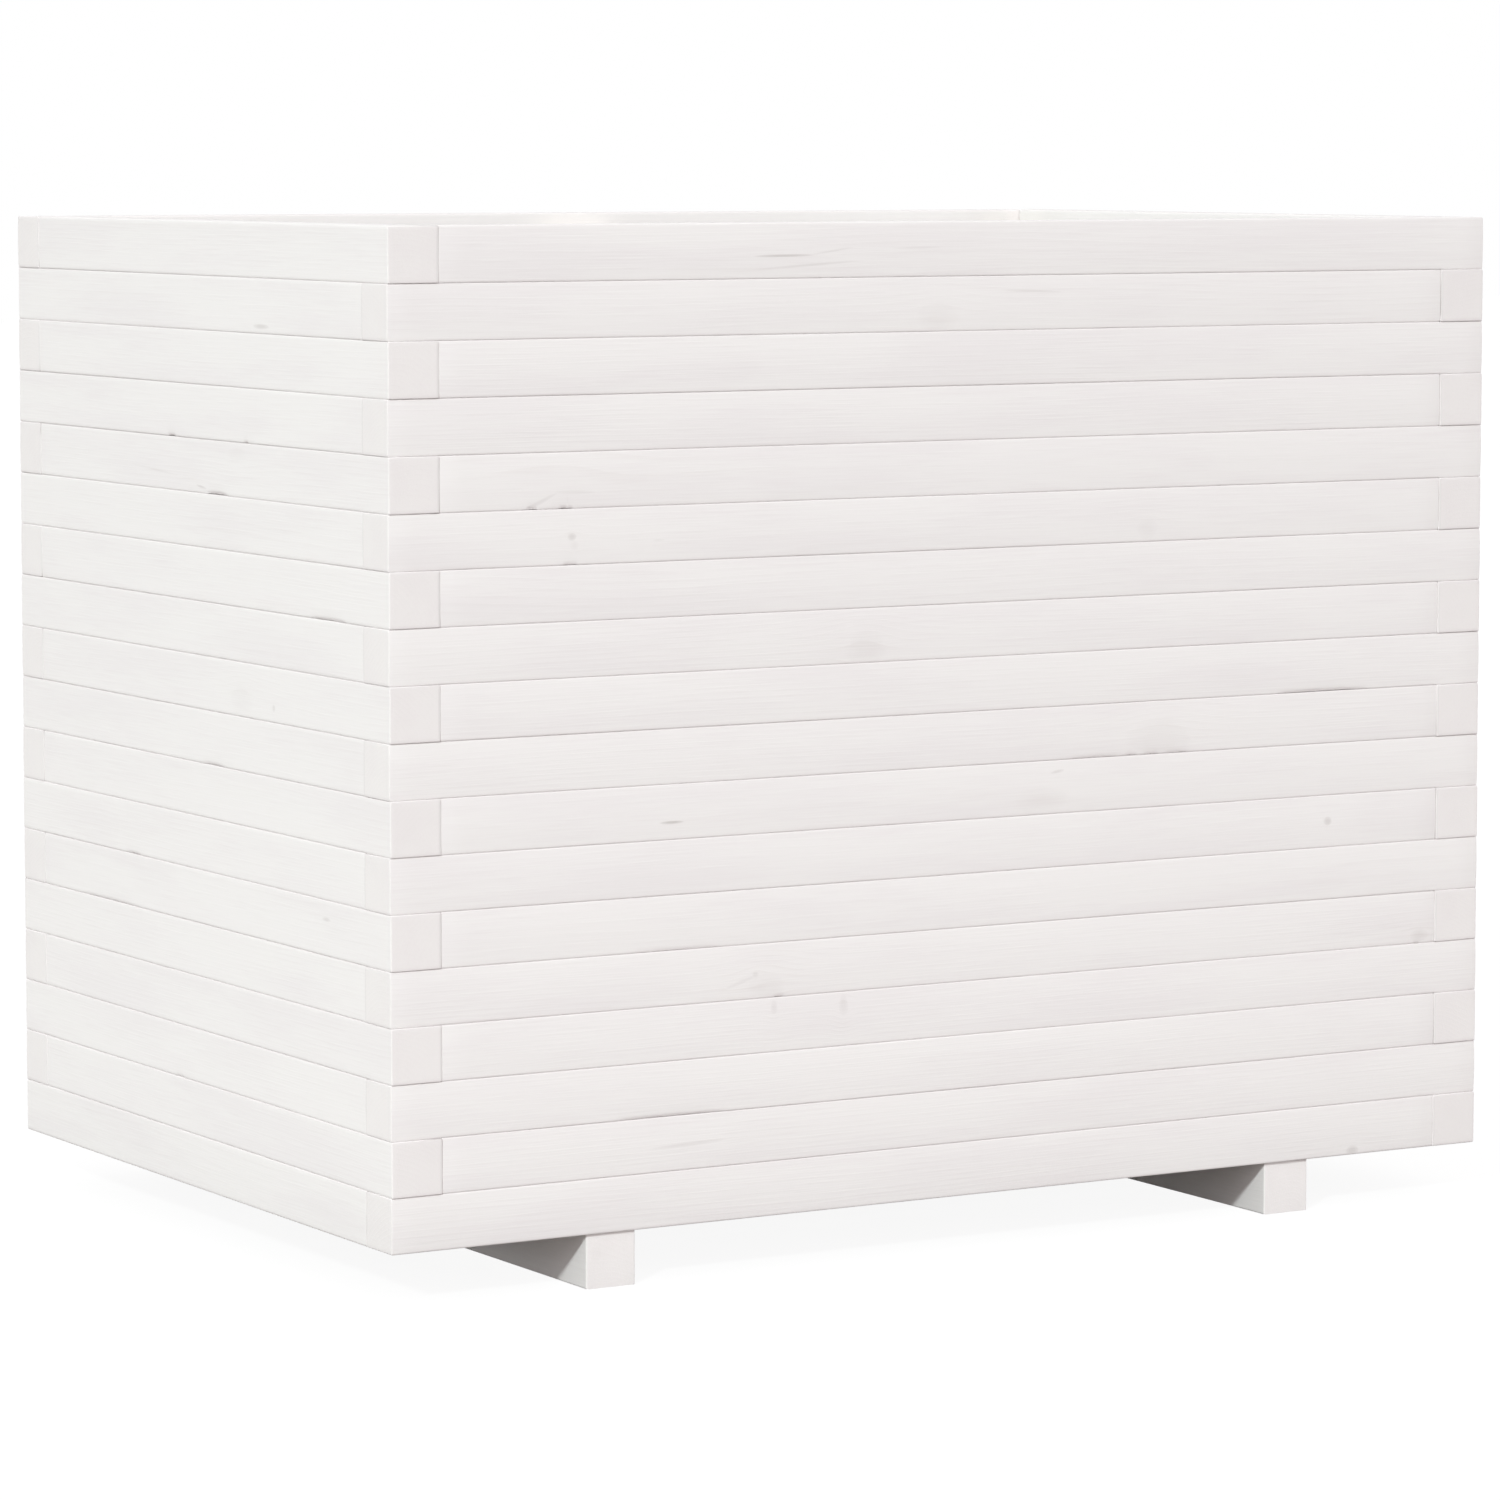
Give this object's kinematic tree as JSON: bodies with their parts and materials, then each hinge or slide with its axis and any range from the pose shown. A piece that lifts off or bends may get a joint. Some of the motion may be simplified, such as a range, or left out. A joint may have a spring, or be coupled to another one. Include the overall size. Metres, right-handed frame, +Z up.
{
  "type": "wooden planter",
  "caption": "Open rectangular floor planter of white-washed square timbers, stacked in courses with lapped corners on two bearer feet, with inner corner posts and a slatted floor.",
  "frame": {"origin": "on the ground, under the middle of the box: the bottom centre of the bounding box", "axes": "+X to the right along the long walls, +Y to the back along the feet, +Z up"},
  "size_m": [0.9, 0.6, 0.722],
  "materials": {
    "painted_timber": "matt white-washed pine, grain and knots faint under the paint",
    "washed_pine": "matt pine under one thin white wash",
    "screw_steel": "stainless steel, satin"
  },
  "bodies": {
    "root": {"course_01_long_rails": "painted_timber", "course_02_long_rails": "painted_timber", "course_03_long_rails": "painted_timber", "course_04_long_rails": "painted_timber", "course_05_long_rails": "painted_timber", "course_06_long_rails": "painted_timber", "course_07_long_rails": "painted_timber", "course_08_long_rails": "painted_timber", "course_09_long_rails": "painted_timber", "course_10_long_rails": "painted_timber", "course_11_long_rails": "painted_timber", "course_12_long_rails": "painted_timber", "course_13_long_rails": "painted_timber", "course_14_long_rails": "painted_timber", "course_15_long_rails": "painted_timber", "course_16_long_rails": "painted_timber", "course_17_long_rails": "painted_timber", "course_18_long_rails": "painted_timber", "course_01_short_rails": "painted_timber", "course_02_short_rails": "painted_timber", "course_03_short_rails": "painted_timber", "course_04_short_rails": "painted_timber", "course_05_short_rails": "painted_timber", "course_06_short_rails": "painted_timber", "course_07_short_rails": "painted_timber", "course_08_short_rails": "painted_timber", "course_09_short_rails": "painted_timber", "course_10_short_rails": "painted_timber", "course_11_short_rails": "painted_timber", "course_12_short_rails": "painted_timber", "course_13_short_rails": "painted_timber", "course_14_short_rails": "painted_timber", "course_15_short_rails": "painted_timber", "course_16_short_rails": "painted_timber", "course_17_short_rails": "painted_timber", "course_18_short_rails": "painted_timber", "floor_board_1": "washed_pine", "floor_board_2": "washed_pine", "floor_board_3": "washed_pine", "floor_board_4": "washed_pine", "floor_board_5": "washed_pine", "left_foot": "painted_timber", "right_foot": "painted_timber", "front_left_post": "washed_pine", "front_right_post": "washed_pine", "back_left_post": "washed_pine", "back_right_post": "washed_pine", "front_batten": "washed_pine", "back_batten": "washed_pine", "front_wall_screws": "screw_steel", "back_wall_screws": "screw_steel", "left_wall_screws": "screw_steel", "right_wall_screws": "screw_steel", "batten_screws": "screw_steel", "floor_screws": "screw_steel", "foot_screws": "screw_steel"}
  },
  "joints": []
}
